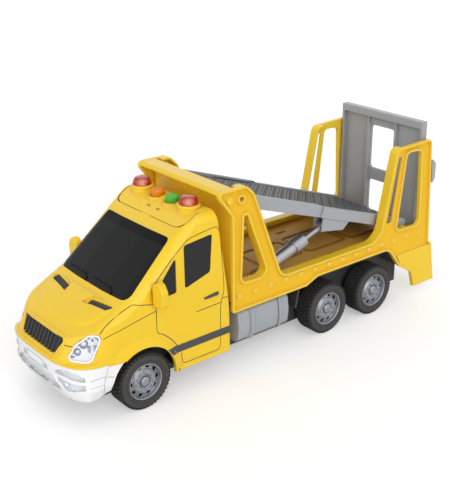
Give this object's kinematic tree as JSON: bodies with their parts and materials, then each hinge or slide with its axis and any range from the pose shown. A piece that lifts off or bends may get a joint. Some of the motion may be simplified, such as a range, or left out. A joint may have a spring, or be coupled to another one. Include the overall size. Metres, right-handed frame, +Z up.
{
  "type": "toy tow truck",
  "caption": "Toy car-carrier tow truck with a van cab, sloping deck on lift cylinders, fold-down tailgate, open-sided bed walls, roof beacons with push buttons and tandem rear wheels.",
  "frame": {"origin": "on the ground under the middle of the truck's length and width", "axes": "+X forward over the bumper, +Y to the truck's left side, +Z up"},
  "size_m": [0.3287, 0.108, 0.1396],
  "materials": {
    "yellow_body": "satin-gloss moulded yellow",
    "white_plastic": "gloss white moulding",
    "black_plastic": "satin black moulding",
    "dark_glazing": "gloss, opaque dark tint",
    "clear_lens": "clear gloss",
    "chrome_trim": "bright plated",
    "red_lens": "clear red gloss",
    "green_plastic": "gloss",
    "orange_plastic": "gloss",
    "pad_rubber": "matt",
    "amber_floor": "satin amber-brown moulding",
    "light_grey": "satin light grey moulding",
    "dark_grey": "matt with fine tread",
    "mid_grey": "satin mid grey moulding",
    "board_green": "solder-masked board",
    "steel": "drawn wire",
    "tyre": "matt black with block tread",
    "silver_rim": "satin silver"
  },
  "bodies": {
    "chassis": {"chassis_frame": "black_plastic", "fuel_tank_left": "light_grey", "fuel_tank_right": "light_grey", "battery_door": "black_plastic", "battery_cells": "steel", "circuit_board": "board_green", "speaker": "black_plastic", "beacon_leds": "clear_lens", "drive_case": "white_plastic", "chassis_screws": "steel", "cab_shell": "yellow_body", "roof_panel": "yellow_body", "windscreen": "dark_glazing", "side_glass_left": "dark_glazing", "side_glass_right": "dark_glazing", "grille": "black_plastic", "hood_vents": "black_plastic", "front_bumper": "white_plastic", "lamp_lens_left": "clear_lens", "lamp_lens_right": "clear_lens", "lamp_reflector_left": "chrome_trim", "lamp_reflector_right": "chrome_trim", "mirror_left": "yellow_body", "mirror_right": "yellow_body", "beacon_left": "red_lens", "beacon_right": "red_lens", "green_pad": "pad_rubber", "orange_pad": "pad_rubber", "bed_floor": "amber_floor", "side_wall_left": "yellow_body", "side_wall_right": "yellow_body", "headboard": "yellow_body", "hinge_pins": "steel"},
    "front_wheels": {"front_axle": "steel", "tyre_front_left": "tyre", "tyre_front_right": "tyre", "rim_front_left": "silver_rim", "rim_front_right": "silver_rim"},
    "middle_wheels": {"rear_axle_1": "steel", "drive_gear": "white_plastic", "tyre_middle_left": "tyre", "tyre_middle_right": "tyre", "rim_middle_left": "silver_rim", "rim_middle_right": "silver_rim"},
    "rear_wheels": {"rear_axle_2": "steel", "tyre_rear_left": "tyre", "tyre_rear_right": "tyre", "rim_rear_left": "silver_rim", "rim_rear_right": "silver_rim"},
    "flywheel": {"flywheel": "steel"},
    "green_button": {"green_button": "green_plastic"},
    "orange_button": {"orange_button": "orange_plastic"},
    "deck": {"deck_frame": "light_grey", "deck_tread": "dark_grey"},
    "barrel_left": {"barrel_left": "chrome_trim"},
    "barrel_right": {"barrel_right": "chrome_trim"},
    "rod_left": {"rod_left": "chrome_trim"},
    "rod_right": {"rod_right": "chrome_trim"},
    "tailgate": {"tailgate": "mid_grey"}
  },
  "joints": [
    {"name": "front_wheel_spin", "type": "hinge", "parent": "chassis", "child": "front_wheels", "pos_m": [0.1126, 0, 0.0192], "axis": [0, 1, 0], "continuous": true},
    {"name": "middle_wheel_spin", "type": "hinge", "parent": "chassis", "child": "middle_wheels", "pos_m": [-0.04665, 0, 0.0192], "axis": [0, 1, 0], "continuous": true},
    {"name": "rear_wheel_spin", "type": "hinge", "parent": "chassis", "child": "rear_wheels", "pos_m": [-0.09495, 0, 0.0192], "axis": [0, 1, 0], "continuous": true},
    {"name": "flywheel_spin", "type": "hinge", "parent": "chassis", "child": "flywheel", "pos_m": [-0.04665, 0, 0.0294], "axis": [0, 1, 0], "continuous": true},
    {"name": "green_button_press", "type": "slide", "parent": "chassis", "child": "green_button", "axis": [0, 0, -1], "range_m": [0, 0.0015], "stiffness_N_per_m": 600, "deforming": ["green_pad"]},
    {"name": "orange_button_press", "type": "slide", "parent": "chassis", "child": "orange_button", "axis": [0, 0, -1], "range_m": [0, 0.0015], "stiffness_N_per_m": 600, "deforming": ["orange_pad"]},
    {"name": "deck_tilt", "type": "hinge", "parent": "chassis", "child": "deck", "pos_m": [-0.13, 0, 0.0573], "axis": [0, 1, 0], "range_deg": [0, 12]},
    {"name": "barrel_swing_left", "type": "hinge", "parent": "chassis", "child": "barrel_left", "pos_m": [0.011, 0.0304, 0.0576], "axis": [0, -1, 0], "range_deg": [0, 15.5]},
    {"name": "rod_slide_left", "type": "slide", "parent": "barrel_left", "child": "rod_left", "axis": [0.9469, 0, -0.3214], "range_m": [0, 0.0062]},
    {"name": "barrel_swing_right", "type": "hinge", "parent": "chassis", "child": "barrel_right", "pos_m": [0.011, -0.0304, 0.0576], "axis": [0, -1, 0], "range_deg": [0, 15.5]},
    {"name": "rod_slide_right", "type": "slide", "parent": "barrel_right", "child": "rod_right", "axis": [0.9469, 0, -0.3214], "range_m": [0, 0.0062]},
    {"name": "tailgate_fold", "type": "hinge", "parent": "chassis", "child": "tailgate", "pos_m": [-0.146, 0, 0.047], "axis": [0, -1, 0], "range_deg": [0, 120]}
  ],
  "couplings": [
    {"joint": "flywheel_spin", "follows": "middle_wheel_spin", "ratio": -2.4},
    {"joint": "barrel_swing_left", "follows": "deck_tilt", "ratio": 1.268},
    {"joint": "rod_slide_left", "follows": "deck_tilt", "m_per_rad": 0.02828},
    {"joint": "barrel_swing_right", "follows": "deck_tilt", "ratio": 1.268},
    {"joint": "rod_slide_right", "follows": "deck_tilt", "m_per_rad": 0.02828}
  ]
}
